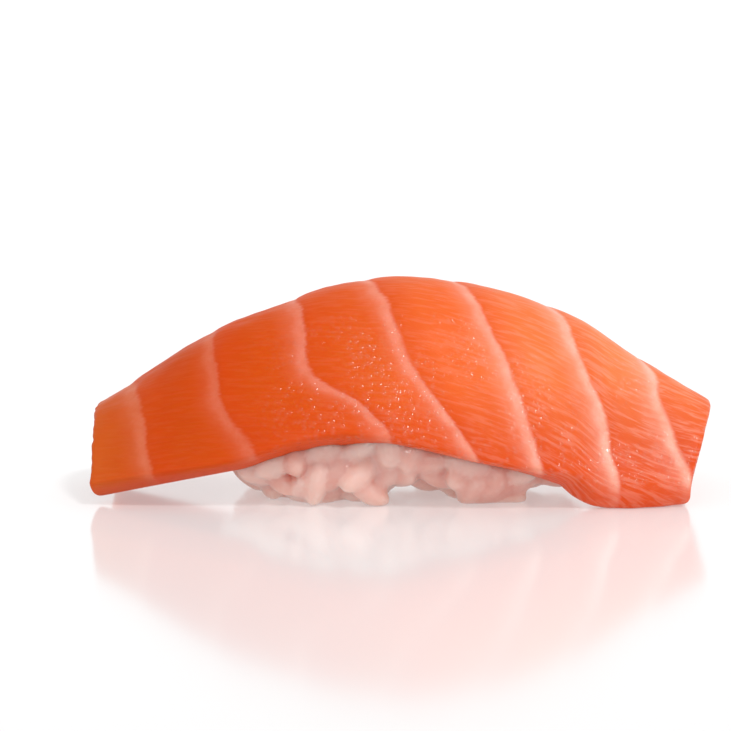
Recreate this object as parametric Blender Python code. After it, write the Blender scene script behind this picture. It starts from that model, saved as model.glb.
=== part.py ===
"""Salmon nigiri: a thick slice of raw salmon draped over a pressed finger of rice.

Frame: +Z up, X along the nigiri, the shown side faces -Y, and the origin is on the
surface that it stands on, under the middle of its box. Lengths are in millimetres here
and in metres in the meshes.
"""

import math

import bpy
import numpy as np
from mathutils import Vector
from mathutils.bvhtree import BVHTree

MM = 0.001
SEED = 7

# The drawing's middle, in the constants' own x and y. The origin goes under it.
DRAWING_MIDDLE = (0.52, -0.47)

# The slice's upper face is drawn by sections across it. Each stands at a share of its length
# from the left end, and gives the crest's height, then for each cut edge how far out it lies,
# how high, and how steeply the face runs into it in degrees, then the slice's thickness, and
# last how much the front edge swells into the soft foot that stands on the surface.
SECTIONS = (
    # share crest  front: out  up   lean   back: out  up   lean  thick foot
    (0.00, 11.4, 11.8, 3.0, 58, 11.4, 3.6, 56, 5.2, 0.0),
    (0.22, 22.8, 14.6, 6.3, 68, 13.8, 7.8, 66, 5.6, 0.0),
    (0.43, 28.6, 16.0, 10.5, 65, 15.2, 11.0, 74, 5.9, 0.0),
    (0.51, 29.4, 16.2, 9.6, 77, 15.3, 11.4, 76, 5.8, 0.0),
    (0.66, 27.2, 16.0, 6.7, 80, 15.0, 10.4, 74, 5.7, 0.0),
    (0.79, 22.9, 15.3, 5.0, 62, 14.6, 8.4, 67, 5.8, 0.3),
    (0.85, 19.8, 14.6, 4.3, 22, 14.2, 7.0, 62, 6.0, 1.0),
    (0.91, 16.6, 14.0, 4.0, 16, 13.9, 6.0, 57, 5.9, 1.0),
    (1.00, 11.9, 12.6, 4.1, 18, 12.6, 4.6, 48, 5.2, 0.8),
)
# x of the slice's two ends, at even steps from the front edge over the crest to the back.
LEFT_END = (-41.6, -41.5, -41.6, -41.0, -40.2)
RIGHT_END = (38.9, 41.3, 42.8, 42.4, 40.4)
CREST_HANDLE = 0.62  # how flat the crest is, as a share of the reach to each edge
FLANK_HANDLE = 0.42  # how straight each flank runs into its edge, as a share of the drop
EDGE_ROUND = 1.0  # how far in from a cut edge the slice reaches its full thickness
EDGE_POWER = 3.4  # how square that rounding is: 2 is an ellipse
FOOT_ROUND = 2.6  # the same two for the foot
FOOT_POWER = 2.3
FOOT_CLEARANCE = 0.15  # how far the foot stays off the surface, so that the rice carries the part
SLICE_STEPS = (36, 18)  # even steps along and across, between the rounded rims
RIM_STEPS = 3
LEAST_ROW = 0.02  # the first row's least distance from the rim

# The finger of rice: where its ends are, and its half width, underside and top at places
# along it. It touches the surface where the underside is at zero or below.
RICE_ENDS = (-25.0, 28.0)
RICE_HALF_WIDTH = ((-25.0, 10.0), (-14.0, 12.6), (0.0, 13.2), (14.0, 12.8), (28.0, 10.5))
RICE_TOP = ((-25.0, 15.0), (-12.0, 20.5), (0.0, 24.0), (12.0, 22.5), (28.0, 14.5))
RICE_UNDER = (
    (-25.0, 3.4), (-20.0, 1.0), (-16.0, 0.2), (-14.0, -1.6), (-3.5, -1.6), (-1.5, 0.8),
    (1.0, 1.6), (4.5, 0.5), (8.0, 0.3), (9.0, -1.6), (14.0, -1.6), (16.0, 1.0), (28.0, 1.8),
)
RICE_SQUARE = 3.6  # the power of a section's outline across the finger
RICE_END_LENGTH = 6.0  # how far in from an end the finger has its full section
GRAIN_HALF = (3.1, 1.7, 1.55)  # a grain's half length, half width and half depth
GRAIN_SPACING = 2.5  # the least distance between two grains' middle lines
GRAIN_TRIES = 3000
CORE_INSET = 1.1  # how far the space between grains goes in
GAP = 0.35  # air between the rice and the slice, which keeps the two solids apart
COVERED = (40, 140)  # the turn in degrees, from the back side up, that the slice covers
RICE_STEPS = (46, 12, 38)  # steps along the rice, over its covered top and round the rest
END_CROWDING = 0.35  # how far those along it crowd towards its ends
AXIS_PULL = 0.25  # how far the line that the outline is measured from draws in to the middle
OUTSIDE = 5.0  # how far out from the finger the measuring starts
LEAST_SLANT = 0.35  # the least slope at which the gap to the slice is measured straight
GAP_SPREAD = 0.25  # how much further out than a neighbour a point may go near the slice

SALMON_ORANGE = (0.72, 0.14, 0.03, 1)
RICE_WHITE = (0.84, 0.74, 0.68, 1)


def smooth_through(knots, values, at):
    """A curve through the values at the knots, with no overshoot between them."""
    knots, values = np.asarray(knots, float), np.asarray(values, float)
    steps = np.diff(knots)
    slopes = np.diff(values) / steps
    tangents = np.empty_like(values)
    tangents[0], tangents[-1] = slopes[0], slopes[-1]
    before, after = slopes[:-1], slopes[1:]
    same_way = before * after > 0
    mean = 2 * before * after / np.where(same_way, before + after, 1)
    tangents[1:-1] = np.where(same_way, mean, 0)
    i = np.clip(np.searchsorted(knots, at, side="right") - 1, 0, len(steps) - 1)
    t = (at - knots[i]) / steps[i]
    return (
        values[i] * (1 + 2 * t) * (1 - t) ** 2
        + tangents[i] * steps[i] * t * (1 - t) ** 2
        + values[i + 1] * t**2 * (3 - 2 * t)
        + tangents[i + 1] * steps[i] * t**2 * (t - 1)
    )


def flank(crest, out, up, lean):
    """Points (out, up) from the crest down to one cut edge."""
    t = np.linspace(0, 1, 60)[:, None]
    reach = FLANK_HANDLE * (crest - up)
    start = np.array([0, crest])
    over = np.array([CREST_HANDLE * out, crest])
    edge = np.array([out, up])
    into = edge + reach * np.array([-math.cos(math.radians(lean)), math.sin(math.radians(lean))])
    return (
        start * (1 - t) ** 3
        + over * 3 * t * (1 - t) ** 2
        + into * 3 * t**2 * (1 - t)
        + edge * t**3
    )


def rim_round(foot):
    """How far a rim's rounding goes in and how square it is, for this much of a foot."""
    rounds = EDGE_ROUND + foot * (FOOT_ROUND - EDGE_ROUND)
    return rounds, EDGE_POWER + foot * (FOOT_POWER - EDGE_POWER)


def rim_rows(length, steps, foot=0.0):
    """Distances across a sheet of this length, close together on its rounded rims."""
    angles = np.linspace(0, math.pi / 2, RIM_STEPS + 1)[:-1]
    rims = []
    for rounds, power in (rim_round(foot), rim_round(0.0)):
        rim = rounds * (1 - np.cos(angles) ** (2 / power))
        rim[1:] = np.maximum(rim[1:], LEAST_ROW)
        rims.append(rim)
    middle = np.linspace(rim_round(foot)[0], length - EDGE_ROUND, steps + 1)
    return np.concatenate([rims[0], middle, (length - rims[1])[::-1]])


def fullness(distance, foot=0.0):
    """The share of its full thickness that the slice has this far from a cut edge."""
    rounds, power = rim_round(foot)
    inward = 1 - np.clip(distance / rounds, 0, 1)
    return (1 - inward**power) ** (1 / power)


def slice_faces():
    """The slice's upper and lower faces as two grids of points, which meet at its rim."""
    table = np.array(SECTIONS, float).T
    run = RIGHT_END[2] - LEFT_END[2]
    along = rim_rows(run, SLICE_STEPS[0])
    shares = along / run
    values = [smooth_through(table[0], row, shares) for row in table[1:]]
    fifths = np.linspace(0, 1, len(LEFT_END))
    grid = []
    across_full = []
    for i, share in enumerate(shares):
        crest, out_f, up_f, lean_f, out_b, up_b, lean_b, _, foot = (row[i] for row in values)
        front = flank(crest, out_f, up_f, lean_f) * [-1, 1]
        back = flank(crest, out_b, up_b, lean_b)
        line = np.concatenate([front[::-1], back[1:]])
        length = np.concatenate([[0], np.cumsum(np.linalg.norm(np.diff(line, axis=0), axis=1))])
        rows = rim_rows(length[-1], SLICE_STEPS[1], foot)
        y, z = np.interp(rows, length, line[:, 0]), np.interp(rows, length, line[:, 1])
        side = rows / length[-1]
        x0 = smooth_through(fifths, LEFT_END, side)
        x1 = smooth_through(fifths, RIGHT_END, side)
        grid.append(np.stack([x0 + share * (x1 - x0), y, z], axis=1))
        across_full.append(fullness(rows, foot) * fullness(length[-1] - rows))
    grid = np.array(grid)
    normals = np.cross(np.gradient(grid, axis=0), np.gradient(grid, axis=1))
    normals /= np.linalg.norm(normals, axis=2, keepdims=True)
    along_full = fullness(np.minimum(along, run - along))
    full = np.array(across_full) * along_full[:, None]
    half = (values[-2] / 2)[:, None, None] * normals
    middle = grid - half
    faces = middle + half * full[..., None], middle - half * full[..., None]
    for face in faces:
        face[..., 2] = np.maximum(face[..., 2], FOOT_CLEARANCE)
    return faces


def add_mesh(name, points, faces, color):
    """Adds an object, with its points moved so that the drawing's middle is over the origin."""
    placed = (np.asarray(points) - (*DRAWING_MIDDLE, 0)) * MM
    mesh = bpy.data.meshes.new(name)
    mesh.from_pydata([tuple(p) for p in placed], [], faces)
    mesh.validate()
    mesh.update()
    obj = bpy.data.objects.new(name, mesh)
    bpy.context.scene.collection.objects.link(obj)
    mesh.shade_smooth()
    material = bpy.data.materials.new(name)
    material.use_nodes = True
    material.node_tree.nodes["Principled BSDF"].inputs["Base Color"].default_value = color
    mesh.materials.append(material)
    return obj


def build_slice():
    """The slice as a list of points and one of faces."""
    upper, lower = slice_faces()
    nx, ny = upper.shape[:2]
    index = np.full((2, nx, ny), -1)
    points = []
    for side, face in enumerate((upper, lower)):
        for i in range(nx):
            for j in range(ny):
                if side and (i in (0, nx - 1) or j in (0, ny - 1)):
                    index[1, i, j] = index[0, i, j]
                    continue
                index[side, i, j] = len(points)
                points.append(face[i, j])
    faces = []
    for i in range(nx - 1):
        for j in range(ny - 1):
            a = index[:, i, j], index[:, i + 1, j], index[:, i + 1, j + 1], index[:, i, j + 1]
            faces.append([int(k[0]) for k in a])
            faces.append([int(k[1]) for k in a[::-1]])
    return points, faces


def rice_section(x, angle):
    """A point on the finger's outline: x along it, angle around it from the back side up."""
    width = smooth_through(*np.array(RICE_HALF_WIDTH).T, x)
    top = smooth_through(*np.array(RICE_TOP).T, x)
    under = smooth_through(*np.array(RICE_UNDER).T, x)
    near = np.minimum(x - RICE_ENDS[0], RICE_ENDS[1] - x)
    inward = 1 - np.clip(near / RICE_END_LENGTH, 0, 1)
    full = np.sqrt(1 - inward**2)
    c, s = np.cos(angle), np.sin(angle)
    power = 2 / RICE_SQUARE
    y = width * full * np.sign(c) * np.abs(c) ** power
    z = (top + under) / 2 + (top - under) / 2 * full * np.sign(s) * np.abs(s) ** power
    return np.stack([x + 0 * y, y, z], axis=-1)


def rice_normal(x, angle):
    step = 1e-3
    along = rice_section(x + step, angle) - rice_section(x - step, angle)
    around = rice_section(x, angle + step) - rice_section(x, angle - step)
    normal = np.cross(around, along)
    return normal / np.maximum(np.linalg.norm(normal, axis=-1, keepdims=True), 1e-9)


def even_turns(x):
    """Turns round the finger at x, evenly spaced on its outline over the top and round the rest."""
    x = np.clip(x, RICE_ENDS[0] + RICE_END_LENGTH, RICE_ENDS[1] - RICE_END_LENGTH)
    low, high = np.radians(COVERED)
    turns = []
    for start, end, steps in (
        (low, high, RICE_STEPS[1]),
        (high, 2 * math.pi + low, RICE_STEPS[2]),
    ):
        fine = np.linspace(start, end, 400)
        runs = np.linalg.norm(np.diff(rice_section(x, fine), axis=0), axis=1)
        length = np.concatenate([[0], np.cumsum(runs)])
        turns.append(np.interp(np.linspace(0, length[-1], steps + 1)[:-1], length, fine))
    return np.concatenate(turns)


def gap_between(a, b):
    """The least distance between the middle lines of grain a and each of the grains b."""
    ends = np.linspace(-1, 1, 5)
    mine = a[0] + ends[:, None] * a[1]
    theirs = b[:, 0, None, :] + ends[None, :, None] * b[:, 1, None, :]
    return np.linalg.norm(mine[None, :, None] - theirs[:, None], axis=-1).min(axis=(1, 2))


def lay_grains(rng):
    """Grains over the whole finger, each as its middle, its half length and its turn."""
    grains = np.empty((0, 2, 3))
    normals = []
    inside = RICE_ENDS[0] + 0.6, RICE_ENDS[1] - 0.6
    for _ in range(GRAIN_TRIES):
        x = rng.uniform(*inside)
        angle = rng.choice(even_turns(x)[RICE_STEPS[1]:]) + rng.uniform(0, 0.1)
        normal = rice_normal(x, angle)
        any_way = rng.normal(size=3)
        lie = any_way - (1 - 0.5 * rng.random()) * normal * (any_way @ normal)
        lie /= np.linalg.norm(lie)
        middle = rice_section(x, angle) - normal * GRAIN_HALF[2] * rng.uniform(0.85, 1.5)
        grain = np.array([middle, lie * (GRAIN_HALF[0] - GRAIN_HALF[1])])
        if len(grains) and gap_between(grain, grains).min() < GRAIN_SPACING:
            continue
        grains = np.concatenate([grains, grain[None]])
        normals.append(normal)
    return grains, np.array(normals)


def grain_mesh(grains, normals):
    """Every grain's ellipsoid as one list of points and one of faces."""
    rings, sides = 7, 10
    polar = np.linspace(0, math.pi, rings + 1)[1:-1]
    turn = np.arange(sides) * 2 * math.pi / sides
    shell = [(-1, 0, 0)]
    for a in polar:
        shell += [(-math.cos(a), math.sin(a) * math.cos(t), math.sin(a) * math.sin(t)) for t in turn]
    shell.append((1, 0, 0))
    shell = np.array(shell)
    last = len(shell) - 1
    ring = [[1 + k * sides + s for s in range(sides)] for k in range(rings - 1)]
    faces = []
    for s in range(sides):
        n = (s + 1) % sides
        faces.append((0, ring[0][n], ring[0][s]))
        faces.append((last, ring[-1][s], ring[-1][n]))
        for low, high in zip(ring, ring[1:]):
            faces.append((low[s], low[n], high[n]))
            faces.append((low[s], high[n], high[s]))
    points, all_faces = [], []
    for (middle, half), normal in zip(grains, normals):
        lie = half / np.linalg.norm(half)
        side = np.cross(normal, lie)
        side /= np.linalg.norm(side)
        axes = np.array([lie, side, np.cross(lie, side)]) * np.array(GRAIN_HALF)[:, None]
        offset = len(points)
        points.extend(middle + shell @ axes)
        all_faces.extend([tuple(offset + k for k in f) for f in faces])
    return points, all_faces


def build_rice(slice_points, slice_polygons):
    """One solid out to the grains' uneven outline, kept clear of the slice above it."""
    rng = np.random.default_rng(SEED)
    points, faces = grain_mesh(*lay_grains(rng))
    heap = BVHTree.FromPolygons([Vector(p) for p in points], faces)
    cover = BVHTree.FromPolygons([Vector(p) for p in slice_points], slice_polygons)
    span = RICE_ENDS[1] - RICE_ENDS[0]
    middle = sum(RICE_ENDS) / 2
    crowded = (1 - np.cos(np.linspace(0, math.pi, RICE_STEPS[0] + 1))) / 2
    even = np.linspace(0, 1, RICE_STEPS[0] + 1)
    stations = RICE_ENDS[0] + span * (END_CROWDING * crowded + (1 - END_CROWDING) * even)
    axes, ways = [], []
    far = np.empty((len(stations), RICE_STEPS[1] + RICE_STEPS[2]))
    free = np.full_like(far, np.inf)
    for i, x in enumerate(stations):
        top = smooth_through(*np.array(RICE_TOP).T, x)
        under = smooth_through(*np.array(RICE_UNDER).T, x)
        axis = Vector((x + AXIS_PULL * (middle - x), 0, (top + under) / 2))
        axes.append(axis)
        ways.append([])
        for j, turn in enumerate(even_turns(x)):
            edge = Vector(rice_section(x, turn))
            way = edge - axis
            reach = way.length
            way.normalize()
            ways[-1].append(way)
            hit = heap.ray_cast(edge + way * OUTSIDE, -way, reach + OUTSIDE)[0]
            far[i, j] = max((hit - axis).length if hit else 0, reach - CORE_INSET)
            met, normal, _, distance = cover.ray_cast(axis, way)
            if met:
                free[i, j] = distance - GAP / max(LEAST_SLANT, abs(normal.dot(way)))
    around = [np.roll(far, way_of, axis=1) for way_of in (-1, 1)]
    far[1:-1] = 0.5 * far[1:-1] + 0.125 * (far[:-2] + far[2:] + (around[0] + around[1])[1:-1])
    for axis_of in (0, 1):
        for way_of in (-1, 1):
            free = np.minimum(free, np.roll(free, way_of, axis=axis_of) + GAP_SPREAD)
    far = np.minimum(far, free)
    rows = []
    for i, axis in enumerate(axes):
        row = []
        for j, way in enumerate(ways[i]):
            point = axis + way * far[i, j]
            if point.z < 0:
                point = axis + (point - axis) * (axis.z / (axis.z - point.z))
                point.z = 0
            row.append(point)
        rows.append(row)
    count = far.shape[1]
    ends = [sum(rows[0], Vector()) / count, sum(rows[-1], Vector()) / count]
    inner = rows[1:-1]
    points = [ends[0]] + [p for row in inner for p in row] + [ends[1]]
    last = len(points) - 1
    faces = []
    for s in range(count):
        n = (s + 1) % count
        faces.append((0, 1 + n, 1 + s))
        faces.append((last, last - count + s, last - count + n))
        for k in range(len(inner) - 1):
            low, high = 1 + k * count, 1 + (k + 1) * count
            faces.append((low + s, low + n, high + n, high + s))
    return points, faces


def main():
    for obj in list(bpy.data.objects):
        bpy.data.objects.remove(obj, do_unlink=True)
    fish = build_slice()
    add_mesh("salmon_slice", *fish, SALMON_ORANGE)
    add_mesh("rice", *build_rice(*fish), RICE_WHITE)


main()
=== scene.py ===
"""Looks of the salmon nigiri: moist raw salmon with its fat lines and fibres, and real grains
of cooked rice, on a pale light table."""

import math

import bmesh
import bpy
import numpy as np
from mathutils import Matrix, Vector
from mathutils.bvhtree import BVHTree


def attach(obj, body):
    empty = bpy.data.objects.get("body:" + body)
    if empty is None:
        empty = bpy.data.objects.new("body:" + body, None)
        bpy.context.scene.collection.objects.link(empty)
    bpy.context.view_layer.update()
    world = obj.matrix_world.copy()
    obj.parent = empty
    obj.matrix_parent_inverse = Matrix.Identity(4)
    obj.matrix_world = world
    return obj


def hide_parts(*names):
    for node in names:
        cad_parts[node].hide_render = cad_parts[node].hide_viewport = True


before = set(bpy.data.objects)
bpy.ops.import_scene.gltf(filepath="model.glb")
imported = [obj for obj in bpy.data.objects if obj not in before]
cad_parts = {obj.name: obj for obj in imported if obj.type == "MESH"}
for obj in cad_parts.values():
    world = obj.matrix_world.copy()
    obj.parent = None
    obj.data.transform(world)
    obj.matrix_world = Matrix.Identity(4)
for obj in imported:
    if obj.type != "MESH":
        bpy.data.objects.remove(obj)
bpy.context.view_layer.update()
MM = 0.001
SEED = 7

# ---------------------------------------------------------------- the slice of salmon, in mm

# The drawing's middle, in the constants' own x and y. The origin goes under it.
DRAWING_MIDDLE = (0.52, -0.47)

# The slice's upper face is drawn by sections across it. Each stands at a share of its length
# from the left end, and gives the crest's height, then for each cut edge how far out it lies,
# how high, and how steeply the face runs into it in degrees, then the slice's thickness, and
# last how much the front edge swells into the soft foot that stands on the surface.
SECTIONS = (
    # share crest  front: out  up   lean   back: out  up   lean  thick foot
    (0.00, 11.4, 11.8, 3.0, 58, 11.4, 3.6, 56, 5.2, 0.0),
    (0.22, 22.8, 14.6, 6.3, 68, 13.8, 7.8, 66, 5.6, 0.0),
    (0.43, 28.6, 16.0, 10.5, 65, 15.2, 11.0, 74, 5.9, 0.0),
    (0.51, 29.4, 16.2, 9.6, 77, 15.3, 11.4, 76, 5.8, 0.0),
    (0.66, 27.2, 16.0, 6.7, 80, 15.0, 10.4, 74, 5.7, 0.0),
    (0.79, 22.9, 15.3, 5.0, 62, 14.6, 8.4, 67, 5.8, 0.3),
    (0.85, 19.8, 14.6, 4.3, 22, 14.2, 7.0, 62, 6.0, 1.0),
    (0.91, 16.6, 14.0, 4.0, 16, 13.9, 6.0, 57, 5.9, 1.0),
    (1.00, 11.9, 12.6, 4.1, 18, 12.6, 4.6, 48, 5.2, 0.8),
)
LEFT_END = (-41.6, -41.5, -41.6, -41.0, -40.2)
RIGHT_END = (38.9, 41.3, 42.8, 42.4, 40.4)
CREST_HANDLE = 0.62
FLANK_HANDLE = 0.42
EDGE_ROUND = 1.0
EDGE_POWER = 3.4
FOOT_ROUND = 2.6
FOOT_POWER = 2.3
SLICE_STEPS = (240, 150)
RIM_STEPS = 8

# The fat lines between the blocks of muscle: x where each crosses the places across the
# slice named first, from the front edge (0) over the crest (0.5) to the back edge (1), and
# how pale and wide it is.
ACROSS = (0.06, 0.2, 0.33, 0.5, 0.75, 1.0)
FAT_LINES = (
    # x at each place across                     pale  wide
    (-44.5, -45.5, -46.5, -48.0, -50.0, -53.0, 0.7, 4.0),
    (-33.7, -34.4, -35.3, -36.4, -38.0, -40.5, 0.7, 4.2),
    (-20.6, -24.2, -24.8, -25.3, -27.0, -30.0, 0.65, 4.2),
    (-3.2, -12.2, -13.0, -14.0, -16.5, -20.5, 0.75, 4.4),
    (7.8, 1.5, -1.3, -4.1, -7.5, -11.0, 0.8, 4.6),
    (17.7, 15.4, 12.4, 8.5, 4.0, -0.5, 0.85, 4.8),
    (28.4, 27.2, 24.6, 21.6, 16.5, 12.0, 0.92, 5.2),
    (38.2, 36.5, 35.0, 33.8, 29.5, 26.0, 0.88, 5.4),
    (52.0, 49.0, 47.0, 45.0, 42.0, 39.0, 0.8, 5.0),
)
BLOCK_RISE = 0.32  # how far a block of muscle stands up past the line at its left
STEP_RUN = 1.8  # how far that step takes to rise
# how steeply the muscle fibres cross the slice, at places along it
FIBRE_SLOPES = ((-42.0, 0.62), (-20.0, 0.45), (0.0, 0.18), (20.0, -0.04), (42.0, -0.3))


def smooth_through(knots, values, at):
    """A curve through the values at the knots, with no overshoot between them."""
    knots, values = np.asarray(knots, float), np.asarray(values, float)
    steps = np.diff(knots)
    slopes = np.diff(values) / steps
    tangents = np.empty_like(values)
    tangents[0], tangents[-1] = slopes[0], slopes[-1]
    before, after = slopes[:-1], slopes[1:]
    same_way = before * after > 0
    mean = 2 * before * after / np.where(same_way, before + after, 1)
    tangents[1:-1] = np.where(same_way, mean, 0)
    i = np.clip(np.searchsorted(knots, at, side="right") - 1, 0, len(steps) - 1)
    t = (at - knots[i]) / steps[i]
    return (
        values[i] * (1 + 2 * t) * (1 - t) ** 2
        + tangents[i] * steps[i] * t * (1 - t) ** 2
        + values[i + 1] * t**2 * (3 - 2 * t)
        + tangents[i + 1] * steps[i] * t**2 * (t - 1)
    )


def smooth_noise(rng, points, size, waves=40):
    """Soft unevenness of about this size in mm, from -1 to 1 at each of the points."""
    way = rng.normal(size=(waves, points.shape[-1]))
    way /= np.linalg.norm(way, axis=1, keepdims=True)
    turn = 2 * math.pi / (size * rng.uniform(0.7, 1.8, waves))
    phase = rng.uniform(0, 2 * math.pi, waves)
    total = np.zeros(points.shape[:-1])
    for k in range(waves):
        total += np.sin(points @ way[k] * turn[k] + phase[k])
    return total / math.sqrt(waves / 2) / 2


def flank(crest, out, up, lean):
    """Points (out, up) from the crest down to one cut edge."""
    t = np.linspace(0, 1, 120)[:, None]
    reach = FLANK_HANDLE * (crest - up)
    start = np.array([0, crest])
    over = np.array([CREST_HANDLE * out, crest])
    edge = np.array([out, up])
    into = edge + reach * np.array([-math.cos(math.radians(lean)), math.sin(math.radians(lean))])
    return (
        start * (1 - t) ** 3
        + over * 3 * t * (1 - t) ** 2
        + into * 3 * t**2 * (1 - t)
        + edge * t**3
    )


def rim_round(foot):
    """How far a rim's rounding goes in and how square it is, for this much of a foot."""
    rounds = EDGE_ROUND + foot * (FOOT_ROUND - EDGE_ROUND)
    return rounds, EDGE_POWER + foot * (FOOT_POWER - EDGE_POWER)


def rim_rows(length, steps, foot=0.0):
    """Distances across a sheet of this length, close together on its rounded rims."""
    angles = np.linspace(0, math.pi / 2, RIM_STEPS + 1)[:-1]
    rims = []
    for rounds, power in (rim_round(foot), rim_round(0.0)):
        rim = rounds * (1 - np.cos(angles) ** (2 / power))
        rim[1:] = np.maximum(rim[1:], 0.004 * np.arange(1, RIM_STEPS))
        rims.append(rim)
    middle = np.linspace(rim_round(foot)[0], length - EDGE_ROUND, steps + 1)
    return np.concatenate([rims[0], middle, (length - rims[1])[::-1]])


def fullness(distance, foot=0.0):
    """The share of its full thickness that the slice has this far from a cut edge."""
    rounds, power = rim_round(foot)
    inward = 1 - np.clip(distance / rounds, 0, 1)
    return (1 - inward**power) ** (1 / power)


def lay_sheet():
    """The slice's sheet as a grid: points, normals, thickness, fullness, and places across."""
    table = np.array(SECTIONS, float).T
    run = RIGHT_END[2] - LEFT_END[2]
    along = rim_rows(run, SLICE_STEPS[0])
    shares = along / run
    values = [smooth_through(table[0], row, shares) for row in table[1:]]
    fifths = np.linspace(0, 1, len(LEFT_END))
    grid, full, across, lengths = [], [], [], []
    for i, share in enumerate(shares):
        crest, out_f, up_f, lean_f, out_b, up_b, lean_b, _, foot = (row[i] for row in values)
        front = flank(crest, out_f, up_f, lean_f) * [-1, 1]
        back = flank(crest, out_b, up_b, lean_b)
        line = np.concatenate([front[::-1], back[1:]])
        length = np.concatenate([[0], np.cumsum(np.linalg.norm(np.diff(line, axis=0), axis=1))])
        rows = rim_rows(length[-1], SLICE_STEPS[1], foot)
        y, z = np.interp(rows, length, line[:, 0]), np.interp(rows, length, line[:, 1])
        side = rows / length[-1]
        x0 = smooth_through(fifths, LEFT_END, side)
        x1 = smooth_through(fifths, RIGHT_END, side)
        grid.append(np.stack([x0 + share * (x1 - x0), y, z], axis=1))
        full.append(fullness(rows, foot) * fullness(length[-1] - rows))
        across.append(side)
        lengths.append(rows - length[len(front) - 1])
    grid = np.array(grid)
    normals = np.cross(np.gradient(grid, axis=0), np.gradient(grid, axis=1))
    normals /= np.linalg.norm(normals, axis=2, keepdims=True)
    full = np.array(full) * fullness(np.minimum(along, run - along))[:, None]
    thick = np.repeat(values[-2][:, None], grid.shape[1], axis=1)
    return grid, normals, thick, full, np.array(across), np.array(lengths)


def read_fat_lines(x, across):
    """Where each point lies among the blocks of muscle.

    Gives the block's number plus the share of the way through it, the block's width there in
    mm, and how pale and how wide the nearer fat line is.
    """
    table = np.array(FAT_LINES)
    lines = np.stack([smooth_through(ACROSS, row[: len(ACROSS)], across) for row in table])
    block = np.clip((lines <= x).sum(axis=0) - 1, 0, len(table) - 2)
    left = np.take_along_axis(lines, block[None], axis=0)[0]
    right = np.take_along_axis(lines, block[None] + 1, axis=0)[0]
    place = block + (x - left) / (right - left)
    numbers = np.arange(len(table))
    middles = numbers[:-1] + 0.5
    widths = np.diff(lines, axis=0)
    room = np.zeros_like(x)
    low = np.clip(np.floor(place - 0.5).astype(int), 0, len(middles) - 2)
    share = np.clip(place - middles[low], 0, 1)
    a = np.take_along_axis(widths, low[None], axis=0)[0]
    b = np.take_along_axis(widths, low[None] + 1, axis=0)[0]
    room = a * (1 - share) + b * share
    pale = np.interp(place, numbers, table[:, -2])
    wide = np.interp(place, numbers, table[:, -1])
    return place, room, pale, wide


def make_slice(material):
    """The slice with its raised blocks of muscle, as one closed mesh with its flesh's places."""
    rng = np.random.default_rng(SEED)
    grid, normals, thick, full, across, reach = lay_sheet()
    ragged = 0.3 * smooth_noise(rng, grid, 5.0)
    place, room, pale, wide = read_fat_lines(grid[..., 0] + ragged, across)
    through = place % 1
    past = through * room
    before = (1 - through) * room
    step = 1 - np.exp(-past / STEP_RUN * 1.6)
    rise = BLOCK_RISE * step * (1 - 0.85 * through) - 0.12
    groove = -0.03 * np.exp(-((past - 0.15) ** 2) / 0.12)
    groove -= 0.03 * np.exp(-((before - 0.2) ** 2) / 0.2)
    spots, slopes = np.array(FIBRE_SLOPES).T
    fine = np.linspace(spots[0] - 2, spots[-1] + 2, 400)
    drift = np.cumsum(np.interp(fine, spots, slopes)) * (fine[1] - fine[0])
    fibre_across = np.abs(reach) - np.interp(grid[..., 0], fine, drift)
    lanes = np.stack([grid[..., 0] / 9, fibre_across / 1.6], axis=-1)
    streaks = 0.03 * smooth_noise(rng, lanes, 1.0)
    lumps = 0.2 * smooth_noise(rng, grid, 13.0) + 0.04 * smooth_noise(rng, grid, 3.0)
    relief = (rise + groove + streaks) * full + lumps
    raised = relief[..., None] * normals
    middle = grid - (thick / 2)[..., None] * normals
    half = (thick / 2 * full)[..., None] * normals
    upper = middle + half + raised * (0.5 + 0.5 * full)[..., None]
    lower = middle - half + (0.4 * lumps)[..., None] * normals
    lower += 0.5 * raised * (1 - full)[..., None]
    wobble = 0.1 * smooth_noise(rng, grid, 2.2) * (1 - full)
    left_cut = np.clip(1 - (grid[..., 0] - LEFT_END[1]) / 2.0, 0, 1)
    tear = 0.16 * smooth_noise(rng, grid, 1.4) * left_cut
    for face in (upper, lower):
        face += wobble[..., None] * normals
        face[..., 0] += tear
    shape = upper.shape[:2]
    inner = np.zeros(shape, bool)
    inner[1:-1, 1:-1] = True
    first = np.arange(shape[0] * shape[1]).reshape(shape)
    second = first.copy()
    second[inner] = first.size + np.arange(inner.sum())
    points = np.concatenate([upper.reshape(-1, 3), lower[inner]])
    points[:, 2] = np.maximum(points[:, 2], 0.02)
    a, b, c, d = first[:-1, :-1], first[1:, :-1], first[1:, 1:], first[:-1, 1:]
    faces = np.stack([a, b, c, d], axis=-1).reshape(-1, 4)
    a, b, c, d = second[:-1, :-1], second[1:, :-1], second[1:, 1:], second[:-1, 1:]
    faces = np.concatenate([faces, np.stack([d, c, b, a], axis=-1).reshape(-1, 4)])
    obj = add_mesh("salmon_slice_flesh", points, faces, material)

    def both(field, below=None):
        return np.concatenate([field.ravel(), (field if below is None else below)[inner]])

    depth = (1 - full) * 0.5
    add_reading(obj, "block_place", both(place))
    add_reading(obj, "block_room", both(room))
    add_reading(obj, "fat_pale", both(pale))
    add_reading(obj, "fat_wide", both(wide))
    add_reading(obj, "fibre_across", both(fibre_across + 4 * depth, fibre_across + 4 * (1 - depth)))
    add_reading(obj, "depth", both(depth, 1 - depth))
    return obj


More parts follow.
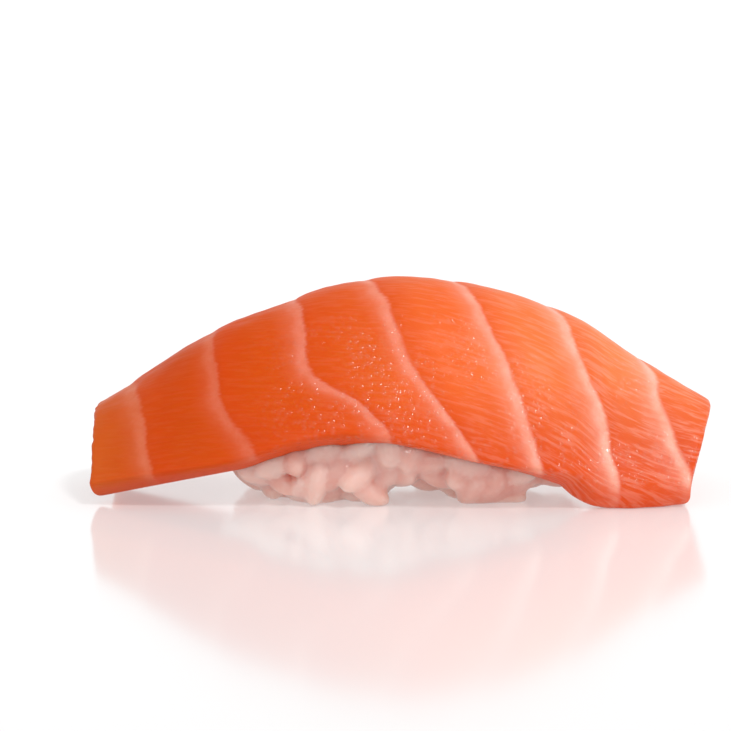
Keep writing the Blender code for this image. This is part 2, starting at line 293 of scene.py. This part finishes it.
def add_mesh(name, points, faces, material):
    """Adds an object, with its points moved so that the drawing's middle is over the origin."""
    placed = (np.asarray(points) - (*DRAWING_MIDDLE, 0)) * MM
    mesh = bpy.data.meshes.new(name)
    mesh.from_pydata(placed.tolist(), [], [tuple(face) for face in faces])
    mesh.validate()
    mesh.update()
    obj = bpy.data.objects.new(name, mesh)
    bpy.context.scene.collection.objects.link(obj)
    mesh.shade_smooth()
    mesh.materials.append(material)
    return obj


def add_reading(obj, name, values):
    """One number for each point, which the material reads."""
    reading = obj.data.attributes.new(name, "FLOAT", "POINT")
    reading.data.foreach_set("value", np.asarray(values, np.float32))


# ---------------------------------------------------------------- the finger of rice, in mm

RICE_ENDS = (-25.0, 28.0)
RICE_HALF_WIDTH = ((-25.0, 10.0), (-14.0, 12.6), (0.0, 13.2), (14.0, 12.8), (28.0, 10.5))
RICE_TOP = ((-25.0, 15.0), (-12.0, 20.5), (0.0, 24.0), (12.0, 22.5), (28.0, 14.5))
RICE_UNDER = (
    (-25.0, 3.4), (-20.0, 1.0), (-16.0, 0.2), (-14.0, -1.6), (-3.5, -1.6), (-1.5, 0.8),
    (1.0, 1.6), (4.5, 0.5), (8.0, 0.3), (9.0, -1.6), (14.0, -1.6), (16.0, 1.0), (28.0, 1.8),
)
RICE_SQUARE = 3.6
RICE_END_LENGTH = 6.0
GRAIN_HALF = (3.2, 1.8, 1.65)  # a grain's half length, half width and half depth
GRAIN_SPACING = 1.5  # the least distance between two grains' middle lines
GRAIN_TRIES = 12000
GRAIN_LAYERS = (1.0, 2.3)  # how deep the middles of the outer and inner grains lie
STICKING = 0.4  # the size of the web of starch between two grains that stick together
CORE_INSET = 1.9
CORE_GAP = 0.6  # how far the core stays from the slice
CORE_HEART = 6.0  # the height of the core's middle line


def rice_section(x, angle):
    """A point on the finger's outline: x along it, angle around it from the back side up."""
    width = smooth_through(*np.array(RICE_HALF_WIDTH).T, x)
    top = smooth_through(*np.array(RICE_TOP).T, x)
    under = smooth_through(*np.array(RICE_UNDER).T, x)
    near = np.minimum(x - RICE_ENDS[0], RICE_ENDS[1] - x)
    inward = 1 - np.clip(near / RICE_END_LENGTH, 0, 1)
    full = np.sqrt(1 - inward**2)
    c, s = np.cos(angle), np.sin(angle)
    power = 2 / RICE_SQUARE
    y = width * full * np.sign(c) * np.abs(c) ** power
    z = (top + under) / 2 + (top - under) / 2 * full * np.sign(s) * np.abs(s) ** power
    return np.stack([x + 0 * y, y, z], axis=-1)


def rice_normal(x, angle):
    step = 1e-3
    along = rice_section(x + step, angle) - rice_section(x - step, angle)
    around = rice_section(x, angle + step) - rice_section(x, angle - step)
    normal = np.cross(around, along)
    return normal / np.maximum(np.linalg.norm(normal, axis=-1, keepdims=True), 1e-9)


def gap_between(grain, others):
    """The least distance between the middle lines of a grain and each of the others."""
    ends = np.linspace(-1, 1, 5)
    mine = grain[0] + ends[:, None] * grain[1]
    theirs = others[:, 0, None, :] + ends[None, :, None] * others[:, 1, None, :]
    return np.linalg.norm(mine[None, :, None] - theirs[:, None], axis=-1).min(axis=(1, 2))


def even_turns(x):
    """Turns round the finger at x, evenly spaced on its outline."""
    x = np.clip(x, RICE_ENDS[0] + RICE_END_LENGTH, RICE_ENDS[1] - RICE_END_LENGTH)
    fine = np.linspace(0, 2 * math.pi, 500)
    runs = np.linalg.norm(np.diff(rice_section(x, fine), axis=0), axis=1)
    length = np.concatenate([[0], np.cumsum(runs)])
    return np.interp(np.linspace(0, length[-1], 90)[:-1], length, fine)


def lay_grains(rng, cover):
    """Grains all over the finger that don't run into the slice: middle, half length, normal."""
    grains = np.empty((0, 2, 3))
    normals = []
    for k in range(GRAIN_TRIES):
        x = rng.uniform(RICE_ENDS[0] + 0.3, RICE_ENDS[1] - 0.3)
        angle = rng.choice(even_turns(x)) + rng.uniform(0, 0.07)
        normal = rice_normal(x, angle)
        any_way = rng.normal(size=3) * (1.3, 1, 1)
        lie = any_way - (1 - 0.35 * rng.random()) * normal * (any_way @ normal)
        lie /= np.linalg.norm(lie)
        outer = k < 0.6 * GRAIN_TRIES
        sunk = GRAIN_LAYERS[0 if outer else 1] + rng.uniform(0, 1.3)
        middle = rice_section(x, angle) - normal * sunk
        grain = np.array([middle, lie * (GRAIN_HALF[0] - GRAIN_HALF[1])])
        if len(grains) and gap_between(grain, grains).min() < GRAIN_SPACING:
            continue
        near = [cover.find_nearest(Vector(middle + k * grain[1])) for k in (-1, 0, 1)]
        if min(found[3] for found in near) < 0.2:
            continue
        if (Vector(middle) - near[1][0]).dot(near[1][1]) < 0:
            continue
        grains = np.concatenate([grains, grain[None]])
        normals.append(normal)
    return grains, np.array(normals)


def grain_form(rng, rings=12, sides=12):
    """One cooked grain on unit axes: blunt ends, a slight bend and the germ's small notch."""
    polar = np.linspace(0, math.pi, rings + 1)[1:-1]
    turn = np.arange(sides) * 2 * math.pi / sides
    bend, flat, notch = rng.uniform(0.04, 0.2), rng.uniform(0.0, 0.12), rng.uniform(0.1, 0.4)
    swell = rng.uniform(-0.12, 0.12)
    shell = [np.array([-1.0, 0, 0])]
    for a in polar:
        along = -math.cos(a)
        girth = math.sin(a) ** 0.8 * (1 + swell * along)
        for t in turn:
            shell.append(np.array([along, girth * math.cos(t), girth * math.sin(t) * (1 - flat)]))
    shell.append(np.array([1.0, 0, 0]))
    shell = np.array(shell)
    shell[:, 1] += bend * (shell[:, 0] ** 2 - 0.4)
    corner = np.linalg.norm(shell - [0.95, -0.55, 0.2], axis=1)
    shell[:, 0] -= notch * np.exp(-((corner / 0.4) ** 2))
    last = len(shell) - 1
    faces = []
    for s in range(sides):
        n = (s + 1) % sides
        faces.append((0, 1 + n, 1 + s))
        faces.append((last, last - sides + s, last - sides + n))
        for k in range(rings - 2):
            low, high = 1 + k * sides, 1 + (k + 1) * sides
            faces.append((low + s, low + n, high + n))
            faces.append((low + s, high + n, high + s))
    return shell, faces


def make_grains(cover, material):
    """Every outer grain as real mesh, stuck to its neighbours, joined into one piece."""
    rng = np.random.default_rng(SEED)
    grains, normals = lay_grains(rng, cover)
    forms = [grain_form(rng) for _ in range(9)]
    points, faces = [], []
    count = 0
    for (middle, half), normal in zip(grains, normals):
        shell, shell_faces = forms[rng.integers(len(forms))]
        lie = half / np.linalg.norm(half)
        side = np.cross(normal, lie)
        side /= np.linalg.norm(side)
        axes = np.array([lie, side, np.cross(lie, side)])
        axes[:2] *= rng.choice((-1, 1))
        size = np.array(GRAIN_HALF) * rng.uniform(0.88, 1.12, 3)
        points.append(middle + shell * size @ axes)
        faces.extend([tuple(count + k for k in f) for f in shell_faces])
        count += len(shell)
    points = np.concatenate(points)
    points[:, 2] = np.maximum(points[:, 2], 0.04)
    obj = add_mesh("rice_grains", points, faces, material)
    stick_grains(obj)
    tone_grains(obj, points, faces, len(forms[0][1]), rng)
    return obj


def stick_grains(obj):
    """Fuses grains that touch, with a soft web of starch where they meet."""
    remesh = obj.modifiers.new("stick", "REMESH")
    remesh.mode = "VOXEL"
    remesh.voxel_size = STICKING * MM
    smooth = obj.modifiers.new("soften", "SMOOTH")
    smooth.factor = 0.5
    smooth.iterations = 7
    mesh = bpy.data.meshes.new_from_object(obj.evaluated_get(bpy.context.evaluated_depsgraph_get()))
    obj.modifiers.clear()
    obj.data = mesh
    keep_largest(mesh)
    mesh.shade_smooth()


def keep_largest(mesh):
    """Deletes the specks that fusing leaves inside the heap."""
    shape = bmesh.new()
    shape.from_mesh(mesh)
    shape.verts.ensure_lookup_table()
    left = set(shape.verts)
    heaps = []
    for first in shape.verts:
        if first not in left:
            continue
        left.discard(first)
        heap, reached = {first}, [first]
        while reached:
            point = reached.pop()
            for edge in point.link_edges:
                other = edge.other_vert(point)
                if other in left:
                    left.discard(other)
                    heap.add(other)
                    reached.append(other)
        heaps.append(heap)
    largest = max(heaps, key=len)
    specks = [point for point in shape.verts if point not in largest]
    bmesh.ops.delete(shape, geom=specks, context="VERTS")
    shape.to_mesh(mesh)
    shape.free()


def tone_grains(obj, points, faces, faces_each, rng):
    """Gives each point of the stuck grains a tone from the grain that it belongs to."""
    heap = BVHTree.FromPolygons([Vector(p) for p in points], faces)
    tones = rng.random(len(faces) // faces_each)
    spots = np.empty(len(obj.data.vertices) * 3, np.float32)
    obj.data.vertices.foreach_get("co", spots)
    spots = spots.reshape(-1, 3) / MM + (*DRAWING_MIDDLE, 0)
    nearest = [heap.find_nearest(Vector(spot))[2] for spot in spots]
    add_reading(obj, "grain_tone", tones[np.array(nearest) // faces_each])


def make_rice_core(cover, material):
    """The pressed rice behind the grains, pulled in where the slice would meet it."""
    along, around = 60, 48
    turns = np.arange(around) * 2 * math.pi / around
    points = []
    for x in np.linspace(RICE_ENDS[0] + CORE_INSET, RICE_ENDS[1] - CORE_INSET, along):
        heart = Vector((x, 0, CORE_HEART))
        for turn in turns:
            spot = rice_section(x, turn) - rice_normal(x, turn) * CORE_INSET
            reach = Vector(spot) - heart
            free = cover.ray_cast(heart, reach, reach.length + CORE_GAP)[3]
            if free is not None:
                spot = np.array(heart + reach.normalized() * (free - CORE_GAP))
            spot[2] = max(spot[2], 1.5)
            points.append(spot)
    faces = []
    for i in range(along - 1):
        for s in range(around):
            n = (s + 1) % around
            low, high = i * around, (i + 1) * around
            faces.append((low + s, low + n, high + n, high + s))
    faces.append(tuple(range(around))[::-1])
    faces.append(tuple(range((along - 1) * around, along * around)))
    return add_mesh("rice_core", points, faces, material)


# ---------------------------------------------------------------- materials


def color(code):
    """An sRGB hex colour as linear red, green, blue and alpha."""
    parts = [int(code[i : i + 2], 16) / 255 for i in (1, 3, 5)]
    return (*[c / 12.92 if c <= 0.04045 else ((c + 0.055) / 1.055) ** 2.4 for c in parts], 1)


def add(tree, kind, links=(), **settings):
    """Adds a node with its settings. Links go by input: a socket is linked, a value is set."""
    made = tree.nodes.new(kind)
    for key, value in settings.items():
        setattr(made, key, value)
    for socket, value in dict(links).items():
        target = made.inputs[socket]
        if isinstance(value, bpy.types.NodeSocket):
            tree.links.new(value, target)
        else:
            target.default_value = value
    return made


def new_material(name):
    material = bpy.data.materials.new(name)
    material.use_nodes = True
    material.node_tree.nodes.clear()
    return material, material.node_tree


def per_metre(size):
    """A pattern's scale for a feature of this size in mm, as object coordinates are metres."""
    return 1 / (size * MM)


# Along the slice, x in mm: the muscle's colour and the fat lines' colour. Both hold painted light: they are
# darker and deeper to the left, where the slice lies in shade, and paler to the right, where the light
# falls on it as a painted sheen.
MUSCLE_AND_PAINTED_LIGHT_ALONG = (
    (-41, "#cf5c1a"), (-32, "#cb4902"), (-20, "#d64f04"), (-8, "#e15a14"), (6, "#f26c2a"),
    (19, "#f67d42"), (30, "#f7854e"), (42, "#f67c42"),
)
FAT_AND_PAINTED_LIGHT_ALONG = (
    (-41, "#dd7c5a"), (-25, "#e07a5e"), (-12, "#ee8c74"), (2, "#f69c84"), (16, "#fbae98"),
    (28, "#fdbba6"), (42, "#fcb59e"),
)


def ramp_along(tree, share, stops):
    """Colours along the slice: the share of its length goes in, and a colour comes out."""
    low, high = LEFT_END[1], RIGHT_END[2]
    ramp = add(tree, "ShaderNodeValToRGB", {"Fac": share})
    for k, (x, code) in enumerate(stops):
        place = (x - low) / (high - low)
        stop = ramp.color_ramp.elements[k] if k < 2 else ramp.color_ramp.elements.new(place)
        stop.position = place
        stop.color = color(code)
    return ramp.outputs["Color"]


def raw_salmon():
    """Raw salmon, cut with a knife: satin orange muscle with a see-through depth, soft pale
    fat lines that end sharply on their right, fine fibres, and a wet film that glints."""
    material, tree = new_material("raw_salmon_knife_cut")
    where = add(tree, "ShaderNodeTexCoord").outputs["Object"]
    place = add(tree, "ShaderNodeAttribute", attribute_name="block_place").outputs["Fac"]
    room = add(tree, "ShaderNodeAttribute", attribute_name="block_room").outputs["Fac"]
    pale = add(tree, "ShaderNodeAttribute", attribute_name="fat_pale").outputs["Fac"]
    wide = add(tree, "ShaderNodeAttribute", attribute_name="fat_wide").outputs["Fac"]
    across = add(tree, "ShaderNodeAttribute", attribute_name="fibre_across").outputs["Fac"]
    depth = add(tree, "ShaderNodeAttribute", attribute_name="depth").outputs["Fac"]
    x = add(tree, "ShaderNodeSeparateXYZ", {0: where}).outputs["X"]
    share = add(
        tree, "ShaderNodeMapRange",
        {"Value": x, "From Min": LEFT_END[1] * MM, "From Max": RIGHT_END[2] * MM},
    ).outputs[0]

    # muscle fibres 0.5 mm apart and about 4 mm long
    run = add(tree, "ShaderNodeMath", {0: x, 1: per_metre(4)}, operation="MULTIPLY").outputs[0]
    lane = add(tree, "ShaderNodeMath", {0: across, 1: 1 / 0.5}, operation="MULTIPLY").outputs[0]
    lanes = add(tree, "ShaderNodeCombineXYZ", {"X": run, "Y": lane}).outputs[0]
    fibre = add(
        tree, "ShaderNodeTexNoise",
        {"Vector": lanes, "Scale": 1.0, "Detail": 3, "Roughness": 0.55, "Distortion": 0.25},
        noise_dimensions="2D",
    ).outputs["Fac"]
    streak = add(
        tree, "ShaderNodeMapRange",
        {"Value": fibre, "From Min": 0.42, "From Max": 0.68, "To Min": 0.0, "To Max": 1.0},
        interpolation_type="SMOOTHSTEP",
    ).outputs[0]
    # painted light: the pale fibres show more to the right, where the light falls across them
    fibres_shown_where_lit = add(
        tree, "ShaderNodeMapRange",
        {"Value": share, "From Min": 0.3, "From Max": 0.95, "To Min": 0.06, "To Max": 0.3},
    ).outputs[0]
    streak = add(tree, "ShaderNodeMath", {0: streak, 1: fibres_shown_where_lit}, operation="MULTIPLY").outputs[0]

    # the fat lines' ragged edges: they wander by about 0.5 mm and follow the fibres' ends
    ragged = add(
        tree, "ShaderNodeTexNoise", {"Vector": where, "Scale": per_metre(2.4), "Detail": 2}
    ).outputs["Fac"]
    wander = add(
        tree, "ShaderNodeMath", {0: ragged, 1: 0.9, 2: -0.45}, operation="MULTIPLY_ADD"
    ).outputs[0]
    wander = add(
        tree, "ShaderNodeMath", {0: fibre, 1: 0.8, 2: wander}, operation="MULTIPLY_ADD"
    ).outputs[0]
    through = add(tree, "ShaderNodeMath", {0: place}, operation="FRACT").outputs[0]
    past = add(tree, "ShaderNodeMath", {0: through, 1: room}, operation="MULTIPLY").outputs[0]
    before = add(tree, "ShaderNodeMath", {0: room, 1: past}, operation="SUBTRACT").outputs[0]
    before_ragged = add(tree, "ShaderNodeMath", {0: before, 1: wander}, operation="ADD").outputs[0]
    past_ragged = add(
        tree, "ShaderNodeMath", {0: fibre, 1: 0.8, 2: past}, operation="MULTIPLY_ADD"
    ).outputs[0]
    past_ragged = add(
        tree, "ShaderNodeMath", {0: past_ragged, 1: 0.35}, operation="SUBTRACT"
    ).outputs[0]

    # a wide soft fade on the left of each line, its body, and its clean edge on the right
    fade = add(
        tree, "ShaderNodeMapRange",
        {"Value": before_ragged, "From Min": 0.0, "From Max": wide, "To Min": 1.0, "To Max": 0.0},
        interpolation_type="SMOOTHSTEP",
    ).outputs[0]
    body = add(
        tree, "ShaderNodeMapRange",
        {"Value": before_ragged, "From Min": 0.7, "From Max": 2.3, "To Min": 1.0, "To Max": 0.0},
        interpolation_type="SMOOTHSTEP",
    ).outputs[0]
    edge = add(
        tree, "ShaderNodeMapRange",
        {"Value": past_ragged, "From Min": 0.0, "From Max": 0.7, "To Min": 1.0, "To Max": 0.0},
        interpolation_type="SMOOTHSTEP",
    ).outputs[0]
    fat = add(tree, "ShaderNodeMath", {0: fade, 1: 0.5}, operation="MULTIPLY").outputs[0]
    fat = add(
        tree, "ShaderNodeMath", {0: body, 1: 0.5, 2: fat}, operation="MULTIPLY_ADD"
    ).outputs[0]
    fat = add(tree, "ShaderNodeMath", {0: fat, 1: edge}, operation="MAXIMUM").outputs[0]
    patchy = add(
        tree, "ShaderNodeTexNoise", {"Vector": where, "Scale": per_metre(4), "Detail": 5, "Roughness": 0.72}
    ).outputs["Fac"]
    patchy = add(
        tree, "ShaderNodeMath", {0: patchy, 1: 1.7, 2: 0.05}, operation="MULTIPLY_ADD"
    ).outputs[0]
    fat = add(tree, "ShaderNodeMath", {0: fat, 1: pale}, operation="MULTIPLY").outputs[0]
    on_cut = add(
        tree, "ShaderNodeMapRange",
        {"Value": depth, "From Min": 0.1, "From Max": 0.35, "To Min": 1.0, "To Max": 0.35},
    ).outputs[0]
    fat = add(tree, "ShaderNodeMath", {0: fat, 1: on_cut}, operation="MULTIPLY").outputs[0]
    fat = add(
        tree, "ShaderNodeMath", {0: fat, 1: patchy}, operation="MULTIPLY", use_clamp=True
    ).outputs[0]

    # colour: muscle by its place, with painted shade to the left and painted light to the right, blotches
    # of deeper flesh, painted shade low on the flanks and beside the fat lines, fibres, fat, and painted
    # shade on the cut side
    muscle = ramp_along(tree, share, MUSCLE_AND_PAINTED_LIGHT_ALONG)
    blotch = add(
        tree, "ShaderNodeTexNoise", {"Vector": where, "Scale": per_metre(14), "Detail": 3}
    ).outputs["Fac"]
    blotch = add(
        tree, "ShaderNodeMapRange",
        {"Value": blotch, "From Min": 0.35, "From Max": 0.7, "To Min": 0.0, "To Max": 0.28},
    ).outputs[0]
    muscle = add(
        tree, "ShaderNodeMix", {0: blotch, 6: muscle, 7: color("#d8430f")}, data_type="RGBA"
    ).outputs[2]
    # painted shade: the flesh low on the flanks is made redder and darker, as it lies in shade under the
    # light from above, but for the thin end of the slice
    height = add(tree, "ShaderNodeSeparateXYZ", {0: where}).outputs["Z"]
    low = add(
        tree, "ShaderNodeMapRange",
        {"Value": height, "From Min": 6 * MM, "From Max": 17 * MM, "To Min": 0.75, "To Max": 0.0},
    ).outputs[0]
    thick = add(
        tree, "ShaderNodeMapRange",
        {"Value": share, "From Min": 0.2, "From Max": 0.4, "To Min": 0.0, "To Max": 1.0},
    ).outputs[0]
    low = add(tree, "ShaderNodeMath", {0: low, 1: thick}, operation="MULTIPLY").outputs[0]
    muscle = add(
        tree, "ShaderNodeMix", {0: low, 6: muscle, 7: color("#dc4608")}, data_type="RGBA"
    ).outputs[2]
    # painted shade: the flesh just right of a fat line, at the foot of the step where the next block of
    # muscle rises, is made deeper and darker
    deep = add(
        tree, "ShaderNodeMapRange",
        {"Value": past, "From Min": 0.3, "From Max": 4.5, "To Min": 0.3, "To Max": 0.0},
    ).outputs[0]
    muscle = add(
        tree, "ShaderNodeMix", {0: deep, 6: muscle, 7: color("#dc4208")}, data_type="RGBA"
    ).outputs[2]
    # the fat's colour along the slice, with painted shade to the left and a painted sheen to the right
    fat_color = ramp_along(tree, share, FAT_AND_PAINTED_LIGHT_ALONG)
    fibred = add(
        tree, "ShaderNodeMix", {0: streak, 6: muscle, 7: fat_color}, data_type="RGBA"
    ).outputs[2]
    lined = add(
        tree, "ShaderNodeMix", {0: fat, 6: fibred, 7: fat_color}, data_type="RGBA"
    ).outputs[2]
    # painted shade on the slice's rounded cut rims and its underside, which face down, away from the lamps
    cut_side_shade = add(
        tree, "ShaderNodeMapRange",
        {"Value": depth, "From Min": 0.1, "From Max": 0.4, "To Min": 0.0, "To Max": 0.3},
    ).outputs[0]
    lined = add(
        tree, "ShaderNodeMix", {0: cut_side_shade, 6: lined, 7: color("#e04a22")}, data_type="RGBA"
    ).outputs[2]

    # relief: the fibres, and on them a wet film of drops 0.8 mm apart that each catch a glint
    bump = add(
        tree, "ShaderNodeBump", {"Height": fibre, "Strength": 0.35, "Distance": 0.11 * MM}
    ).outputs[0]
    drop = add(
        tree, "ShaderNodeTexVoronoi", {"Vector": where, "Scale": per_metre(0.8), "Randomness": 1.0}
    ).outputs["Distance"]
    drop = add(
        tree, "ShaderNodeMapRange",
        {"Value": drop, "From Min": 0.0, "From Max": 0.65, "To Min": 1.0, "To Max": 0.0},
        interpolation_type="SMOOTHERSTEP",
    ).outputs[0]
    film = add(
        tree, "ShaderNodeBump",
        {"Height": drop, "Strength": 1.0, "Distance": 0.12 * MM, "Normal": bump},
    ).outputs[0]
    # the film gathers in places 9 mm across, on the fat most of all, and runs off the crest
    puddle = add(
        tree, "ShaderNodeTexNoise", {"Vector": where, "Scale": per_metre(9), "Detail": 2}
    ).outputs["Fac"]
    puddle = add(
        tree, "ShaderNodeMath", {0: fat, 1: 0.1, 2: puddle}, operation="MULTIPLY_ADD"
    ).outputs[0]
    puddle = add(
        tree, "ShaderNodeMapRange",
        {"Value": puddle, "From Min": 0.42, "From Max": 0.54, "To Min": 0.0, "To Max": 1.0},
    ).outputs[0]
    upward = add(tree, "ShaderNodeNewGeometry").outputs["True Normal"]
    upward = add(tree, "ShaderNodeSeparateXYZ", {0: upward}).outputs["Z"]
    steep = add(
        tree, "ShaderNodeMapRange",
        {"Value": upward, "From Min": 0.6, "From Max": 0.8, "To Min": 1.0, "To Max": 0.0},
    ).outputs[0]
    wet = add(tree, "ShaderNodeMath", {0: puddle, 1: drop}, operation="MULTIPLY").outputs[0]
    wet = add(tree, "ShaderNodeMath", {0: wet, 1: 1.6}, operation="MULTIPLY", use_clamp=True).outputs[0]
    wet = add(tree, "ShaderNodeMath", {0: wet, 1: steep}, operation="MULTIPLY").outputs[0]
    wet = add(tree, "ShaderNodeMath", {0: wet, 1: on_cut}, operation="MULTIPLY").outputs[0]
    wet = add(tree, "ShaderNodeMath", {0: wet, 1: thick}, operation="MULTIPLY").outputs[0]
    shader = add(
        tree, "ShaderNodeBsdfPrincipled",
        {
            "Base Color": lined, "Roughness": 0.45, "IOR": 1.36, "Normal": bump,
            "Specular IOR Level": 0.2,
            "Subsurface Weight": 0.35, "Subsurface Radius": (1.0, 0.35, 0.18),
            "Subsurface Scale": 0.002, "Coat Weight": wet, "Coat Roughness": 0.1,
            "Coat IOR": 1.5, "Coat Normal": film,
        },
    )
    add(tree, "ShaderNodeOutputMaterial", {"Surface": shader.outputs[0]})
    return material


def cooked_rice(name, deep, light):
    """Cooked short-grain rice, steamed and pressed: milky and a little see-through, with a soft moist
    shine. Its given colours hold painted light and shade: a pink tint for the orange light bounced from the
    flesh above it, and dimming for the shade under the slice."""
    material, tree = new_material(name)
    where = add(tree, "ShaderNodeTexCoord").outputs["Object"]
    tone = add(tree, "ShaderNodeAttribute", attribute_name="grain_tone").outputs["Fac"]
    shade = add(
        tree, "ShaderNodeMix", {0: tone, 6: color(deep), 7: color(light)}, data_type="RGBA"
    ).outputs[2]
    # starch clouds of 1.5 mm inside the grains
    cloud = add(
        tree, "ShaderNodeTexNoise", {"Vector": where, "Scale": per_metre(1.5), "Detail": 3}
    ).outputs["Fac"]
    cloud = add(
        tree, "ShaderNodeMapRange",
        {"Value": cloud, "From Min": 0.4, "From Max": 0.75, "To Min": 0.0, "To Max": 0.35},
    ).outputs[0]
    shade = add(
        tree, "ShaderNodeMix", {0: cloud, 6: shade, 7: color("#ecc9bf")}, data_type="RGBA"
    ).outputs[2]
    skin = add(
        tree, "ShaderNodeTexNoise", {"Vector": where, "Scale": per_metre(0.6), "Detail": 2}
    ).outputs["Fac"]
    bump = add(
        tree, "ShaderNodeBump", {"Height": skin, "Strength": 0.5, "Distance": 0.15 * MM}
    ).outputs[0]
    shader = add(
        tree, "ShaderNodeBsdfPrincipled",
        {
            "Base Color": shade, "Roughness": 0.38, "IOR": 1.4, "Normal": bump,
            "Subsurface Weight": 1.0, "Subsurface Radius": (1.0, 0.75, 0.65),
            "Subsurface Scale": 0.0055, "Coat Weight": 0.6, "Coat Roughness": 0.1,
        },
    )
    add(tree, "ShaderNodeOutputMaterial", {"Surface": shader.outputs[0]})
    return material


def lit_acrylic():
    """A table of polished white acrylic, lit from inside: it glows a little and mirrors faintly."""
    material, tree = new_material("white_acrylic_polished")
    shader = add(
        tree, "ShaderNodeBsdfPrincipled",
        {
            "Base Color": color("#c8c8c8"), "Roughness": 0.13, "IOR": 1.8,
            "Emission Color": color("#ffffff"), "Emission Strength": GLOW,
        },
    )
    add(tree, "ShaderNodeOutputMaterial", {"Surface": shader.outputs[0]})
    return material


# ---------------------------------------------------------------- stage, lights and camera

VIEW_LIFT = math.radians(10)
VIEW_WIDTH = 0.1002  # width of the view where the nigiri stands
VIEW_LENS = 150.0
VIEW_AIM = (-0.00504, 0.01693)  # the view's middle, to the right of and above the drawing's middle
GLOW = 0.3  # how much the table glows
WALLS = 1.0  # how bright the white walls round the table are
CEILING = 0.55  # how bright the ceiling over them is
WALL_TOP = (0.3, 0.5)  # the heights of the look upwards over which walls turn to ceiling
FLOOR_HALF = 4000.0  # half the table's width, in mm


def set_stage():
    near, far = -FLOOR_HALF, FLOOR_HALF
    corners = [(near, near, 0), (far, near, 0), (far, far, 0), (near, far, 0)]
    add_mesh("floor", corners, [(0, 1, 2, 3)], lit_acrylic())
    world = bpy.data.worlds.new("studio")
    bpy.context.scene.world = world
    world.use_nodes = True
    tree = world.node_tree
    look = add(tree, "ShaderNodeTexCoord").outputs["Generated"]
    height = add(tree, "ShaderNodeSeparateXYZ", {0: look}).outputs["Z"]
    bright = add(
        tree, "ShaderNodeMapRange",
        {
            "Value": height, "From Min": WALL_TOP[0], "From Max": WALL_TOP[1],
            "To Min": WALLS, "To Max": CEILING,
        },
    ).outputs[0]
    tree.links.new(bright, tree.nodes["Background"].inputs["Strength"])
    tree.nodes["Background"].inputs["Color"].default_value = color("#ffffff")
    add_light("key_lamp", (0.4, -0.5, 0.85), 10, 1.3)
    add_light("front_lamp", (0.1, -1.0, 0.3), 6, 0.16)
    add_light("fill_lamp", (0.3, 0.6, 0.8), 40, 0.35)


def add_light(name, towards, spread, power):
    """A far lamp: the direction that it stands in, its width in degrees and its strength."""
    data = bpy.data.lights.new(name, "SUN")
    data.angle = math.radians(spread)
    data.energy = power
    lamp = bpy.data.objects.new(name, data)
    lamp.location = towards
    lamp.rotation_euler = Vector(towards).to_track_quat("Z", "Y").to_euler()
    bpy.context.scene.collection.objects.link(lamp)


def set_camera():
    data = bpy.data.cameras.new("camera")
    data.lens = VIEW_LENS
    camera = bpy.data.objects.new("camera", data)
    bpy.context.scene.collection.objects.link(camera)
    back = Vector((0, -math.cos(VIEW_LIFT), math.sin(VIEW_LIFT)))
    up = Vector((0, math.sin(VIEW_LIFT), math.cos(VIEW_LIFT)))
    aim = Vector((VIEW_AIM[0], -DRAWING_MIDDLE[1] * MM, 0)) + up * VIEW_AIM[1]
    camera.location = aim + back * VIEW_WIDTH * VIEW_LENS / data.sensor_width
    camera.rotation_euler = back.to_track_quat("Z", "Y").to_euler()
    bpy.context.scene.camera = camera
    bpy.context.scene.view_settings.view_transform = "Standard"


def surface_of(obj):
    """The object's surface in the drawing's mm, for finding what lies near it."""
    middle = Vector((*DRAWING_MIDDLE, 0))
    points = [v.co / MM + middle for v in obj.data.vertices]
    return BVHTree.FromPolygons(points, [tuple(p.vertices) for p in obj.data.polygons])


def main():
    flesh = make_slice(raw_salmon())
    cover = surface_of(flesh)
    # the rice's colours hold a pink tint of painted orange bounce light from the slice, and painted shade
    # under it
    grains = make_grains(cover, cooked_rice("rice_short_grain_steamed", "#dfa396", "#eec2b7"))
    core = make_rice_core(cover, cooked_rice("rice_pressed_core", "#dc9f8e", "#e6b3a4"))
    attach(flesh, "root")
    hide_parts("salmon_slice")
    for piece in (grains, core):
        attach(piece, "root")
        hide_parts("rice")
    set_stage()
    set_camera()


main()
